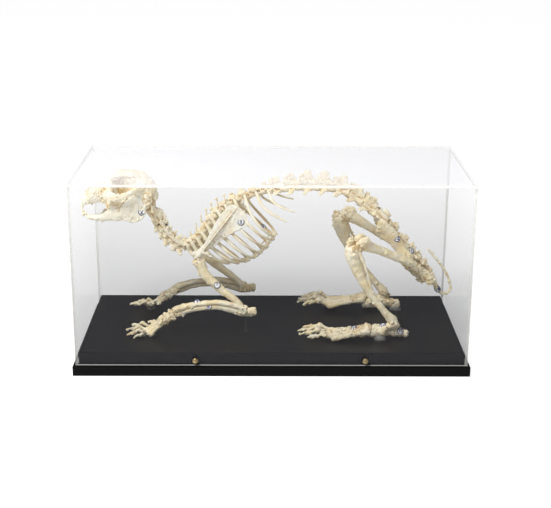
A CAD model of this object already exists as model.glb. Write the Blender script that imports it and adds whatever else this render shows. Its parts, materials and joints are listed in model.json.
# Mounted rabbit skeleton in a clear case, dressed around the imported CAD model.
# Lengths in the dictionaries are millimetres; mm turns them into Blender's metres.
import json
import math

import bmesh
import bpy
import numpy as np
from mathutils import Matrix, Vector

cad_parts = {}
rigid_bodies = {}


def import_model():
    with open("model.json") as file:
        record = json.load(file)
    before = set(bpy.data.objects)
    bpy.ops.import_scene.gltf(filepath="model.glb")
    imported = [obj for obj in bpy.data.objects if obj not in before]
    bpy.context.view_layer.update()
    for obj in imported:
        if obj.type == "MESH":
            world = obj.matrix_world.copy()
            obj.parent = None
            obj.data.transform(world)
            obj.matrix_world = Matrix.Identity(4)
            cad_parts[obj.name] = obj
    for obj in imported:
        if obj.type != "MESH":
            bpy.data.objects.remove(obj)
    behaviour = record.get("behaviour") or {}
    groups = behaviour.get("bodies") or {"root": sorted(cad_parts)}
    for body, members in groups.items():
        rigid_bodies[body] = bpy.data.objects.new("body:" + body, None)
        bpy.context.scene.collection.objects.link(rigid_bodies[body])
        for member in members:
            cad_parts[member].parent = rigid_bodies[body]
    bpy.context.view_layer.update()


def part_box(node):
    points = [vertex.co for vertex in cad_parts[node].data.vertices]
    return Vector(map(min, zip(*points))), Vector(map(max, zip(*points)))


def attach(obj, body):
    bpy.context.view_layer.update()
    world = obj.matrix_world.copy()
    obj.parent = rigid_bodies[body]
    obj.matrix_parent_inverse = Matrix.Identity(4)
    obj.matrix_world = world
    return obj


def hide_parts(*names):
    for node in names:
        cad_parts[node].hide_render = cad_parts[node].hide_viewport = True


for leftover in list(bpy.data.objects):
    bpy.data.objects.remove(leftover)
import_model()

mm = 0.001
gap = 0.3          # between touching pieces, in millimetres
voxelScale = 1.2   # larger makes every bone's mesh coarser
up = Vector((0, 0, 1))
fore = Vector((1, 0, 0))
world = Matrix.Identity(4)

# the camera, fitted to the photograph
cameraSpec = {"place": (-0.00938, -1.33205, 0.54805), "pitch": 17.957, "yaw": 0.599, "roll": 0.369,
              "lens": 74.91}

caseSpec = {
    "depth": 203.0, "plinthTop": 27.0, "panelEdge": 0.35, "boardEdge": 0.8, "plinthEdge": 0.5,
    "screwPlaces": (-89.0, 109.0), "screwLevel": 18.5, "screwHead": 3.5, "screwDepth": 9.0,
    "screwShank": 1.6, "screwSlot": ((0.9, -4.5, -0.55), (3, 4.5, 0.55)),
}

headPlace = (-142.6, -12.0, 179.0)
headYaw = math.radians(11.8)
headShortening = 0.945
jawRise = 1.5

# vertebrae are numbered from the atlas, so the sacrum's four come last
chestFirst = 8
loinFirst = 20
sacrumFirst = 27
joinedRibs = 10
pelvisHead = 5.0
spineKnots = {
    1: (-143.5, 172.0), 3: (-137.0, 155.5), 5: (-127.0, 138.5), 7: (-112.5, 125.5), 8: (-104.0, 126.0),
    10: (-90.0, 135.0), 12: (-77.5, 151.5), 14: (-64.5, 168.5), 16: (-46.0, 183.0), 18: (-21.0, 192.5),
    20: (8.0, 198.0), 22: (45.0, 201.0), 24: (83.0, 197.0), 26: (116.0, 176.0), 28: (143.0, 148.0),
    30: (167.0, 123.0),
}
tailRoute = ((170, 120), (187, 104), (199, 82), (206, 70.5), (214, 65.5), (220.5, 71), (218.5, 84),
             (209, 101), (191, 123))
tailBones = 15
sternumRoute = ((-88, 112), (-70, 108), (-47, 106.5), (-33, 108), (-18.5, 115), (-8, 125), (0, 136), (4, 143))
limbs = {
    "left": {
        "side": -1,
        "shoulder": (-87.5, -24, 116), "elbow": (-34.5, -30, 55.5), "wrist": (-117.5, -38, 54.5),
        "hand": (-132, -41, 44.5), "bow": 8.5, "bend": 6.5, "fingers": 0.5,
        "bladeTop": (-36, -21, 173.5), "bladeFront": (-49, -19, 185.5),
        "hip": (163, -22, 117), "knee": (103, -60, 149), "shin": (94.5, -60, 140), "ankle": (145.5, -50, 48),
        "patella": (91, -61, 151), "heelDrop": 5.0, "foot": (117, -50, 38), "toes": (30.2, 39.5),
        "heelPad": (130, -54, 5.2),
    },
    "right": {
        "side": 1,
        "shoulder": (-91, 24, 117), "elbow": (-36, 30, 64.5), "wrist": (-119.5, 39, 57),
        "hand": (-137, 44, 45), "bow": 8.5, "bend": 1.5, "fingers": 2.0,
        "bladeTop": (-39, 21, 172), "bladeFront": (-52, 19, 184),
        "hip": (163, 22, 117), "knee": (97, 60, 150), "shin": (87, 60, 141), "ankle": (145.5, 50, 48.5),
        "patella": (81.3, 61, 148.6), "heelDrop": 1.5, "foot": (119, 51, 42), "toes": (33.5, 45),
        "heelPad": (159, 48, 6.4),
    },
}


# placing and drawing helpers
def seatAt(origin, along, across=(0, 1, 0)):
    xAxis = Vector(along).normalized()
    yAxis = Vector(across)
    yAxis = (yAxis - xAxis * yAxis.dot(xAxis)).normalized()
    turned = Matrix((xAxis, yAxis, xAxis.cross(yAxis))).transposed().to_4x4()
    return Matrix.Translation(Vector(origin) * mm) @ turned


def curveThrough(knots, count, closed=False):
    knots = [Vector(k) for k in knots]
    last = len(knots) if closed else len(knots) - 1
    result = []
    for step in range(count):
        place = last * step / (count if closed else count - 1)
        i = min(int(place), last - 1)
        t = place - i
        if closed:
            a, b, c, d = (knots[(i + k) % len(knots)] for k in (-1, 0, 1, 2))
        else:
            b = knots[i]
            c = knots[i + 1]
            a = knots[i - 1] if i else b * 2 - c
            d = knots[i + 2] if i + 2 <= last else c * 2 - b
        bend = (c - a) * t + (a * 2 - b * 5 + c * 4 - d) * t ** 2 + (b * 3 - a - c * 3 + d) * t ** 3
        result.append(b + bend * 0.5)
    return result


def finished(bm, name="shape"):
    bmesh.ops.recalc_face_normals(bm, faces=bm.faces)
    mesh = bpy.data.meshes.new(name)
    bm.to_mesh(mesh)
    bm.free()
    return mesh


capSteps = (0.3, 0.6, 0.82, 0.97)   # how a rounded end narrows, as shares of its reach
capReach = 0.75
thinnest = 0.22


def tube(place, stations, sides=8, up=up, blunt=False, fine=None):
    # a loft of oval rings: one circle, extruded edge by edge and carried to each station
    # a station is x, y, z, half width and half height
    sides = max(12, 2 * sides)
    rows = curveThrough(stations, fine or 4 * (len(stations) - 1) + 1)
    centres = [Vector(row[:3]) for row in rows]
    sizes = [(max(row[3], thinnest), max(row[4], thinnest)) for row in rows]
    for end, inner in () if blunt else ((0, 1), (-1, -2)):
        outward = (centres[end] - centres[inner]).normalized()
        across, high = sizes[end]
        for before, step in zip((0, *capSteps), capSteps):
            cap = centres[end] + outward * min(across, high) * (step - before) * capReach
            shrink = math.sqrt(1 - step * step)
            spot = 0 if end == 0 else len(centres)
            centres.insert(spot, cap)
            sizes.insert(spot, (across * shrink, high * shrink))
    seats = []
    for i, centre in enumerate(centres):
        heading = (centres[min(i + 1, len(centres) - 1)] - centres[max(i - 1, 0)]).normalized()
        side = heading.cross(Vector(up)).normalized()
        lift = side.cross(heading).normalized()
        turned = Matrix((side * sizes[i][0] * mm, lift * sizes[i][1] * mm,
                         heading * mm)).transposed().to_4x4()
        seats.append(place @ Matrix.Translation(centre * mm) @ turned)
    bm = bmesh.new()
    bmesh.ops.create_circle(bm, cap_ends=True, segments=sides, radius=1.0, matrix=seats[0])
    rim = list(bm.edges)
    for before, after in zip(seats, seats[1:]):
        grown = bmesh.ops.extrude_edge_only(bm, edges=rim)["geom"]
        rim = [part for part in grown if isinstance(part, bmesh.types.BMEdge) and part.is_boundary]
        moved = [part for part in grown if isinstance(part, bmesh.types.BMVert)]
        bmesh.ops.transform(bm, matrix=after @ before.inverted(), verts=moved)
    bmesh.ops.contextual_create(bm, geom=rim)
    return finished(bm)


def ball(place, centre, radii, turn=None):
    seat = place @ Matrix.Translation(Vector(centre) * mm)
    if turn:
        seat = seat @ turn
    seat = seat @ Matrix.Diagonal((*(radius * mm for radius in radii), 1.0))
    bm = bmesh.new()
    bmesh.ops.create_uvsphere(bm, u_segments=24, v_segments=16, radius=1.0, matrix=seat)
    return finished(bm)


def box(place, low, high, bevel=0.0):
    low = Vector(low)
    high = Vector(high)
    seat = place @ Matrix.Translation((low + high) * 0.5 * mm) @ Matrix.Diagonal((*((high - low) * mm), 1.0))
    bm = bmesh.new()
    bmesh.ops.create_cube(bm, size=1.0, matrix=seat)
    if bevel:
        bmesh.ops.bevel(bm, geom=bm.edges, offset=bevel * mm, affect="EDGES", segments=2, profile=0.5,
                        material=-1)
    return finished(bm)


def drum(place, start, end, radius, endRadius=None, sides=32):
    start = Vector(start) * mm
    end = Vector(end) * mm
    turned = (end - start).to_track_quat("Z", "Y").to_matrix().to_4x4()
    seat = place @ Matrix.Translation((start + end) * 0.5) @ turned
    bm = bmesh.new()
    endRadius = radius if endRadius is None else endRadius
    bmesh.ops.create_cone(bm, cap_ends=True, segments=sides, radius1=radius * mm, radius2=endRadius * mm,
                          depth=(end - start).length, matrix=seat)
    return finished(bm)


def plate(place, outline, thickness, count):
    # a flat piece: one face round its outline, extruded through its thickness
    bm = bmesh.new()
    knots = curveThrough(outline, 2 * count, True)
    rim = [bm.verts.new((knot[0] * mm, knot[1] * mm, -thickness * mm / 2)) for knot in knots]
    face = bm.faces.new(rim)
    grown = bmesh.ops.extrude_face_region(bm, geom=[face])["geom"]
    top = [part for part in grown if isinstance(part, bmesh.types.BMVert)]
    bmesh.ops.translate(bm, vec=(0, 0, thickness * mm), verts=top)
    bmesh.ops.transform(bm, matrix=place, verts=bm.verts)
    return finished(bm)


def joined(name, meshes):
    bm = bmesh.new()
    for mesh in meshes:
        bm.from_mesh(mesh)
        bpy.data.meshes.remove(mesh)
    mesh = bpy.data.meshes.new(name)
    bm.to_mesh(mesh)
    bm.free()
    item = bpy.data.objects.new(name, mesh)
    bpy.context.scene.collection.objects.link(item)
    return item


def settle(item):
    # apply the modifiers, so that only the mesh is left
    graph = bpy.context.evaluated_depsgraph_get()
    mesh = bpy.data.meshes.new_from_object(item.evaluated_get(graph))
    old = item.data
    item.modifiers.clear()
    item.data = mesh
    mesh.name = item.name
    if old.users == 0:
        bpy.data.meshes.remove(old)
    return item


def noiseTexture(name, size):
    made = bpy.data.textures.new(name, "CLOUDS")
    made.noise_scale = size * mm
    made.noise_depth = 2
    return made


unevenness = {"swell": noiseTexture("swell", 7), "grain": noiseTexture("grain", 1.9)}
bones = []


def addFuse(item, voxel):
    fuse = item.modifiers.new("fuse", "REMESH")
    fuse.mode = "VOXEL"
    fuse.voxel_size = voxel * mm


def addCut(item, tool):
    carve = item.modifiers.new("carve", "BOOLEAN")
    carve.operation = "DIFFERENCE"
    carve.solver = "MANIFOLD"
    carve.object = tool


def addSoften(item, rounds):
    smooth = item.modifiers.new("soften", "SMOOTH")
    smooth.factor = 0.5
    smooth.iterations = rounds


def addRipples(item, swell, grain):
    # natural unevenness: strengths in millimetres
    for kind, strength in (("swell", swell), ("grain", grain)):
        ripple = item.modifiers.new(kind, "DISPLACE")
        ripple.texture = unevenness[kind]
        ripple.texture_coords = "LOCAL"
        ripple.strength = strength * mm
        ripple.mid_level = 0.5


def mirrored(build):
    return [piece for side in (1, -1) for piece in build(side)]


def sideTube(place, side, stations, **style):
    return tube(place, [(x, side * out, *rest) for x, out, *rest in stations], **style)


def sideBall(place, side, centre, radii):
    return ball(place, (centre[0], side * centre[1], centre[2]), radii)


def teethOf(place, side, spec, heights):
    # a row of cheek teeth, every second one a little longer
    inner, outer = sorted(side * out for out in spec["out"])
    return [box(place, (spec["back"] + spec["step"] * k, inner, heights(k)[0]),
                (spec["front"] + spec["step"] * k, outer, heights(k)[1])) for k in range(spec["count"])]


def dress(item, looks, slot, *nodes):
    item.data.materials.clear()
    item.data.materials.append(looks)
    for polygon in item.data.polygons:
        polygon.use_smooth = True
    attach(item, "root")
    if nodes:
        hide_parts(*nodes)
    return item


crumbSpec = {"sizes": (0.6, 1.7), "stretch": (0.6, 1.5)}
swellGain = 7      # the noise textures reach only a small part of their range
grainGain = 9


def crumbs(name, pieces, share):
    # dried tissue: small lumps half sunk in the surface, drawn by the bone's own name
    rng = np.random.default_rng(sum(ord(letter) * (k + 1) for k, letter in enumerate(name)))
    lumps = []
    for piece in pieces:
        for spot in rng.choice(len(piece.vertices), int(share * len(piece.vertices)), replace=False):
            bm = bmesh.new()
            size = rng.uniform(*crumbSpec["sizes"]) * mm
            stretch = Matrix.Diagonal((*rng.uniform(*crumbSpec["stretch"], 3), 1))
            turn = Matrix.Rotation(rng.uniform(0, math.pi), 4, Vector(rng.normal(size=3)).normalized())
            seat = Matrix.Translation(piece.vertices[spot].co) @ turn @ stretch
            bmesh.ops.create_icosphere(bm, subdivisions=1, radius=size, matrix=seat)
            lumps.append(finished(bm))
    return lumps


def grow(name, node, pieces, looks, voxel=0.45, soften=2, swell=0.25, grain=0.1, cuts=(), pits=(),
         tissue=0.05):
    # fuse closed shapes into one bone: voxel remesh, smooth, then a little natural unevenness
    item = joined(name, pieces + crumbs(name, pieces, tissue))
    addFuse(item, voxel * voxelScale)
    if cuts:
        tool = joined(name + ".cut", cuts)
        addCut(item, tool)
    addSoften(item, soften)
    addRipples(item, swellGain * swell, grainGain * grain)
    settle(item)
    if cuts:
        bpy.data.objects.remove(tool)
    for place, centre, radius, depth in pits:
        dent(item, place, centre, radius, depth)
    markHollows(item)
    bones.append(item)
    return dress(item, looks, "bone", node)


def pointsOf(mesh, field="co"):
    flat = np.empty(len(mesh.vertices) * 3)
    mesh.vertices.foreach_get(field, flat)
    return flat.reshape(-1, 3)


hollowDepth = 0.5
hollowRange = (-0.5, 0.8)


def markHollows(item, rounds=24):
    # how far each point lies under the smoothed form, as a share of the hollow depth
    mesh = item.data
    spots = pointsOf(mesh)
    count = len(spots)
    ends = np.empty(len(mesh.edges) * 2, dtype=np.int32)
    mesh.edges.foreach_get("vertices", ends)
    one, two = ends.reshape(-1, 2).T
    degree = np.maximum(np.bincount(ends, minlength=count), 1)
    smooth = spots.copy()
    for step in range(rounds):
        total = [np.bincount(one, smooth[two, k], count) + np.bincount(two, smooth[one, k], count)
                 for k in range(3)]
        smooth = np.stack(total, axis=1) / degree[:, None]
    depth = ((smooth - spots) * pointsOf(mesh, "normal")).sum(axis=1) / (hollowDepth * mm)
    layer = mesh.attributes.new("soil", "FLOAT", "POINT")
    layer.data.foreach_set("value", np.clip(depth, *hollowRange).astype(np.float32))


def soil(item, place, patches):
    # browner zones: each patch is a centre, radii and an amount in the piece's own frame
    mesh = item.data
    layer = mesh.attributes["soil"]
    values = np.empty(len(mesh.vertices), dtype=np.float32)
    layer.data.foreach_get("value", values)
    back = np.array(place.inverted())
    spots = pointsOf(mesh) @ back[:3, :3].T + back[:3, 3]
    for centre, radii, amount in patches:
        away = np.linalg.norm((spots / mm - np.array(centre)) / np.array(radii), axis=1)
        values += amount * np.clip(1.6 * (1 - away), 0, 1)
    layer.data.foreach_set("value", values)


def dent(item, place, centre, radius, depth):
    # press a small pit into the surface round a point, along the surface's own inward direction
    mesh = item.data
    spots = pointsOf(mesh)
    outward = pointsOf(mesh, "normal")
    middle = np.array(place @ (Vector(centre) * mm))
    away = np.linalg.norm(spots - middle, axis=1) / (radius * mm)
    fall = np.clip(1 - away ** 2, 0, 1) ** 1.5
    spots -= outward * (fall * depth * mm)[:, None]
    mesh.vertices.foreach_set("co", spots.ravel())
    mesh.update()


# Skull and jaw, in a frame with X to the nose, Y to the left and Z up. A ball is its centre and radii.
skullSpec = {
    "braincase": ((0.8, 0, 13, 9.5, 9.5), (6, 0, 18, 13, 15.6), (15, 0, 23, 14, 19.7),
                  (22, 0, 26.4, 11.8, 19.8), (29, 0, 29.4, 6.6, 16.2), (38, 0, 32, 4, 12)),
    "roof": ((11, 0, 36.6, 8, 3), (22, 0, 41.8, 9.5, 3.8), (30, 0, 42.6, 8.6, 3.6), (39, 0, 41.6, 8, 3.2),
             (48, 0, 38, 9, 3.3), (57, 0, 33.6, 9.2, 3.6)),
    "septum": ((30, 0, 24, 4.5, 12), (42, 0, 24, 2.6, 14.5), (56, 0, 24, 5, 14)),
    "snout": ((50, 0, 26, 9, 13), (60, 0, 22.5, 10.2, 12.1), (70, 0, 19.2, 8.8, 10.4),
              (79, 0, 15.8, 7.2, 8.6), (85, 0, 13.2, 6, 6.4), (87, 0, 13.4, 4.8, 4)),
    "palate": ((46, 0, 12.5), (11, 7.5, 2.6)), "crest": ((2, 0, 25), (3, 4, 6)),
    "nose": ((91, 0, 13.5), (6.5, 4.2, 3.6)),
    # the rest are on one side and mirrored to the other
    "toothSockets": ((36, 7.6, 11.6, 3, 4), (47, 8.2, 11.7, 3.4, 5), (61, 6.5, 14, 3.2, 4.6)),
    "cheek": ((61, 9, 20, 2.4, 6), (55, 14.5, 19, 2.4, 6.4), (46, 19.3, 18.8, 1.6, 4.4),
              (34, 20.8, 21.6, 1.4, 3.6), (24, 20, 25, 1.2, 3.2), (17.5, 16.5, 27.6, 1.6, 3),
              (12, 11.5, 28, 3, 3.8)),
    "spur": ((54.5, 14, 13), (3, 2.2, 4.2)),
    "eyeFront": ((54, 9, 33, 3, 3.6), (54.6, 12.4, 24, 3.4, 4.4), (55, 14, 15, 3, 3.6)),
    "mastoid": ((5, 11.6, 13), (4, 2.6, 8)),
    "brow": ((50, 7, 39, 2.4, 1.4), (42, 11, 42.6, 2.4, 0.9), (34, 13.6, 43.4, 1.7, 0.8),
             (27, 13.8, 42.4, 0.9, 0.7)),
    "earCapsule": ((10, 8.6, 6.4), (6.8, 4.8, 6.6)),
    "earTube": ((10, 11, 9, 2.6, 2.8), (7.5, 14, 17, 2.6, 2.8)), "condyle": ((2, 4.2, 4), (5.5, 2.8, 5.6)),
    "spike": ((4, 9.5, 9, 2, 2.4), (1.5, 10.6, -2.5, 0.8, 1)),
    "incisor": ((79, 1.65, 14, 1.7, 2), (85.6, 1.65, 11, 1.7, 2.1), (88, 1.65, 3.5, 1.65, 1.8),
                (86.4, 1.65, -5.6, 1.5, 0.8)),
    "premolar": ((57.4, 7, 13, 2.6, 3.2), (56.4, 7.2, 6, 2.4, 2.8), (55.4, 7.4, -0.5, 2, 2.2)),
    "teeth": {"back": 38, "front": 40.4, "step": 3.1, "out": (6.4, 11.4), "count": 6, "low": 4.4,
              "high": 10.2, "uneven": 0.3},
    # browner zones: the eye socket, the tooth row, the lacy snout, the back of the head, the front teeth
    "soil": (((40, 0, 26), (18, 11, 19), 1.1), ((48, 10, 7.5), (16, 4, 4.5), 0.8),
             ((48, -10, 7.5), (16, 4, 4.5), 0.8), ((64, 9, 26), (7, 6, 7), 0.3),
             ((64, -9, 26), (7, 6, 7), 0.3), ((3, 0, 12), (12, 22, 16), 0.5), ((74, 0, 9), (9, 9, 4), 0.6),
             ((82, 0, 16), (6, 8, 8), 0.5), ((88, 0, 4), (4, 5, 10), 0.5), ((10, 12, 8), (8, 5, 10), 0.45),
             ((10, -12, 8), (8, 5, 10), 0.45), ((56.5, 7.2, 4), (5, 5, 9), 1.1),
             ((56.5, -7.2, 4), (5, 5, 9), 1.1)),
    # the lacy side of the snout: a slanted grid of shallow pits, each a little off its place
    "pits": {"seed": 7, "rows": 6, "columns": 5, "start": (58, 19.5), "step": (2.9, 2.6), "out": 9.4,
             "slant": 0.25, "jitter": (0.8, 0.7), "radii": (1.3, 2.1), "depths": (0.8, 1.5)},
}
jawSpec = {
    "body": ((81, 1.95, -10.2, 1.9, 2.2), (72, 2.4, -11.2, 2.4, 3.3), (63, 4.6, -10.2, 2.7, 4.4),
             (54, 7.4, -7, 2.9, 7.2), (44, 10, -6, 2.8, 8), (34, 12.2, -4, 1.4, 8)),
    "wingOut": 13, "wingThickness": 1.9,
    "wing": ((41, 4), (42, -6), (37, -12.5), (28, -15.2), (18, -13.5), (11.5, -7), (10.5, 0), (13, 7),
             (16, 14), (17, 20), (23, 21.5), (28, 17.5), (34, 11)),
    "rim": ((36, 13, -12, 1.3, 1.3), (28, 13.3, -14.2, 1.4, 1.4), (18, 13.3, -12.6, 1.4, 1.4),
            (12, 13.2, -6, 1.3, 1.3), (12, 13, 1, 1.2, 1.2)),
    "hinge": ((19.5, 14.2, 21), (4.4, 2, 2.6)),
    "incisor": ((74, 1.65, -9.6, 1.5, 1.5), (81, 1.65, -9.2, 1.6, 1.6), (84.2, 1.65, -5, 1.5, 0.8)),
    "teeth": {"back": 38.5, "front": 41.2, "step": 3.1, "out": (6.8, 10), "count": 5, "low": -2, "high": 3.1,
              "uneven": 0.2},
}


def buildSkull(place):
    spec = skullSpec
    braincase = tube(place, spec["braincase"], sides=14)
    roof = tube(place, spec["roof"], sides=10)
    septum = tube(place, spec["septum"], sides=8, blunt=True)
    snout = tube(place, spec["snout"], sides=12)

    def sidePieces(side):
        row = spec["teeth"]
        return [
            sideTube(place, side, spec["toothSockets"]), sideTube(place, side, spec["cheek"]),
            sideBall(place, side, *spec["spur"]), sideTube(place, side, spec["eyeFront"], up=fore),
            sideBall(place, side, *spec["mastoid"]), sideTube(place, side, spec["brow"], sides=6),
            sideBall(place, side, *spec["earCapsule"]), sideTube(place, side, spec["earTube"], up=fore),
            sideBall(place, side, *spec["condyle"]), sideTube(place, side, spec["spike"], sides=6, up=fore),
            sideTube(place, side, spec["incisor"], up=fore), sideTube(place, side, spec["premolar"], up=fore),
            *teethOf(place, side, row, lambda k: (row["low"] - row["uneven"] * (k % 2), row["high"])),
        ]

    pieces = [braincase, roof, septum, snout, ball(place, *spec["palate"]), ball(place, *spec["crest"]),
              *mirrored(sidePieces)]
    skull = grow("skull", "skull", pieces, looks["skull"], voxel=0.42, soften=2, swell=0.3, grain=0.12,
                 cuts=[ball(place, *spec["nose"])], pits=skullPits(place))
    soil(skull, place, spec["soil"])


def skullPits(place):
    pits = []
    spec = skullSpec["pits"]
    rng = np.random.default_rng(spec["seed"])
    startX, startZ = spec["start"]
    for side in (1, -1):
        for row in range(spec["rows"]):
            for column in range(spec["columns"]):
                x = startX + row * spec["step"][0] + rng.uniform(-spec["jitter"][0], spec["jitter"][0])
                z = startZ + column * spec["step"][1] + rng.uniform(-spec["jitter"][1], spec["jitter"][1])
                z -= (x - startX) * spec["slant"]
                pits.append((place, (x, side * spec["out"], z), rng.uniform(*spec["radii"]),
                             rng.uniform(*spec["depths"])))
    return pits


def buildJaw(jaw):
    spec = jawSpec
    onEdge = Matrix.Rotation(math.radians(90), 4, "X")

    def sidePieces(side):
        row = spec["teeth"]
        wing = jaw @ Matrix.Translation((0, side * spec["wingOut"] * mm, 0)) @ onEdge
        return [
            sideTube(jaw, side, spec["body"]), plate(wing, spec["wing"], spec["wingThickness"], 26),
            sideTube(jaw, side, spec["rim"], sides=6, up=(0, 1, 0)), sideBall(jaw, side, *spec["hinge"]),
            sideTube(jaw, side, spec["incisor"]),
            *teethOf(jaw, side, row, lambda k: (row["low"], row["high"] + row["uneven"] * (k % 2))),
        ]

    grow("mandible", "mandible", mirrored(sidePieces), looks["jaw"], voxel=0.5, soften=3, swell=0.25,
         grain=0.1)


def buildHead():
    ahead = (-math.cos(headYaw), -math.sin(headYaw), 0)
    seat = seatAt(headPlace, ahead, (math.sin(headYaw), -math.cos(headYaw), 0))
    place = seat @ Matrix.Diagonal((headShortening, 1.0, 1.0, 1.0))
    buildSkull(place)
    buildJaw(place @ Matrix.Translation((0, 0, jawRise * mm)))


def spinePoint(number):
    numbers = sorted(spineKnots)
    low = max((n for n in numbers if n <= number), default=numbers[0])
    low = min(low, numbers[-2])
    i = numbers.index(low)
    picks = [spineKnots[numbers[min(max(i + k, 0), len(numbers) - 1)]] for k in (-1, 0, 1, 2)]
    t = (number - low) / (numbers[i + 1] - low)
    a, b, c, d = (Vector(p) for p in picks)
    bend = (c - a) * t + (a * 2 - b * 5 + c * 4 - d) * t ** 2 + (b * 3 - a - c * 3 + d) * t ** 3
    point = b + bend * 0.5
    sway = headPlace[1] * max(0.0, chestFirst - number) / chestFirst
    return Vector((point[0], sway, point[1]))


def spineFrame(number):
    ahead = spinePoint(number + 0.25) - spinePoint(number - 0.25)
    return seatAt(spinePoint(number), ahead)


def spineStep(number):
    return (spinePoint(number + 0.5) - spinePoint(number - 0.5)).length


def upright(place, lean):
    return place.to_3x3().inverted() @ Vector((lean, 0, 1)).normalized()


def bodyAndArch(place, length, width, height, bulk=1.0):
    reachOut = length * 0.53
    body = tube(place, ((-reachOut, 0, 0, width, height), (0, 0, 0.3, width * 0.78, height * 0.78),
                        (reachOut, 0, 0, width, height)), blunt=True)
    arch = tube(place, ((-length * 0.42, 0, height * 1.25, width * 0.92, height * 0.62 * bulk),
                        (length * 0.38, 0, height * 1.15, width * 0.8, height * 0.55 * bulk)), sides=6,
                blunt=True)
    return [body, arch]


def blade(place, root, tip, thick, rootHalf, tipHalf, middle=None):
    root = Vector(root)
    tip = Vector(tip)
    centre = Vector(middle) if middle else (root + tip) * 0.5
    return tube(place, ((*root, thick * 1.4, rootHalf), (*centre, thick, (rootHalf + tipHalf) * 0.5),
                        (*tip, thick * 0.75, tipHalf)), sides=6, up=fore)


# Neck
def buildNeck():
    place = spineFrame(1)
    ring = tube(place, ((-8, 0, 0.4, 7.4, 6.2), (0, 0, 1, 7, 5.8), (4.6, 0, 0.8, 6.6, 5.4)), sides=10,
                blunt=True)
    wings = mirrored(lambda side: [blade(place, (0, side * 4, 0), (2, side * 12.5, -1.5), 0.9, 4.2, 3.4)])
    crest = ball(place, (0, 0, 7), (3.4, 2.6, 2.2))
    grow("atlas", "atlas", [ring, crest, *wings], looks["spine"])

    place = spineFrame(2)
    step = spineStep(2)
    pieces = bodyAndArch(place, step * 1.05, 6.2, 5.4)
    pieces.append(tube(place, ((-6.5, 0, 8.5, 1.1, 2.8), (0, 0, 10.4, 1.1, 3.2), (5.5, 0, 11, 1.4, 2.8)),
                       sides=6))
    pieces.append(tube(place, ((-4, 0, 4, 2, 3), (4, 0, 4, 2, 4)), sides=6))
    pieces += mirrored(lambda side: [blade(place, (0, side * 3, -0.5), (5.5, side * 8, -2), 0.9, 2, 1)])
    grow("axis", "axis", pieces, looks["spine"])

    for number in range(3, chestFirst):
        place = spineFrame(number)
        length = spineStep(number)
        pieces = bodyAndArch(place, length * 0.94, 6.4, 5.7)
        pieces.append(blade(place, (0.5, 0, 3), (1, 0, 11.4 + 0.8 * (number - 3)), 1.1, 3.6, 2))
        pieces += mirrored(lambda side: [
            blade(place, (-1, side * 2.5, -1), (2.5, side * 10, -4.6), 1.4, 4, 3),
            tube(place, ((-length * 0.55, side * 5.2, 5.4, 1.8, 2),
                         (length * 0.5, side * 5.4, 6.2, 1.9, 2.1)), sides=6, blunt=True),
        ])
        grow(f"cervical_{number}", "neck", pieces, looks["spine"])


# the spines on the chest vertebrae rise over the first three and then fall; the last are short and broad
chestSpec = {
    "firstRise": 12, "riseStep": 4, "peakAt": 3, "peak": 22, "fall": 0.5, "lowest": 10.5, "broadFrom": 8,
    "lean": (-0.1, -0.28), "tipHalf": (0.7, 2.4), "rootHalf": (1.7, 2.6),
}


def chestSpineHeight(number):
    place = number - chestFirst
    spec = chestSpec
    if place < spec["peakAt"]:
        return max(spec["firstRise"] + spec["riseStep"] * place, spec["lowest"])
    return max(spec["peak"] - spec["fall"] * (place - spec["peakAt"]) ** 2, spec["lowest"])


# ribs: the cage widens backwards; sag bends each rib, and shares along it tell how far out it stands
ribSpec = {
    "widest": 29, "narrowing": 21, "fade": 4.5, "sag": 5.0, "firstSag": 0.3, "thick": (1.2, 1.05),
    "wide": 2.45, "thinning": 0.07, "joined": ((0.25, 0.72), (0.52, 1.0), (0.74, 0.95)),
    "free": ((0.3, 0.75), (0.62, 0.97)),
}


def ribRoute(number, side):
    order = number - chestFirst + 1
    centre = spinePoint(number)
    width = ribSpec["widest"] - ribSpec["narrowing"] * math.exp(-(order - 1) / ribSpec["fade"])
    free = order > joinedRibs
    share = 0.03 + 0.94 * (order - 1) / (joinedRibs - 1)
    end = freeRibEnd(order, side) if free else breastbone(min(share, 1.0))
    thick = ribSpec["thick"][order > 2]
    wide = ribSpec["wide"] - ribSpec["thinning"] * order
    head = spineFrame(number) @ (Vector((0.5, side * 2.6, 1.6)) * mm) / mm
    neck = spineFrame(number) @ (Vector((2.5, side * 7.5, 3.4)) * mm) / mm
    route = [(head, 1.5, 1.3), (neck, wide, thick * 1.2)]
    for part, spread in ribSpec["free" if free else "joined"]:
        spot = centre.lerp(Vector(end), part)
        sag = ribSpec["sag"] * math.sin(math.pi * part) * (1 if order > 2 else ribSpec["firstSag"])
        route.append((Vector((spot[0] - sag * 0.5, side * width * spread, spot[2] - sag * 0.4)), wide, thick))
    if free:
        route.append((Vector(end), wide * 0.7, thick * 0.8))
    else:
        turn = centre.lerp(Vector(end), 0.93)
        route.append((Vector((turn[0] + 1, side * (4 + width * 0.42), turn[2] - 1.5)), wide * 0.95, thick))
        route.append((Vector((end[0], side * 1.6, end[2])), wide * 0.9, thick))
    return [(*spot, across, along) for spot, along, across in route]


def breastbone(share):
    x, z = curveThrough(sternumRoute, 41)[round(share * 40)]
    return (x, 0, z)


def freeRibEnd(order, side):
    back = order - joinedRibs
    return (8 + 9 * back, side * (31 - back), 154 + 12 * back)


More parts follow.
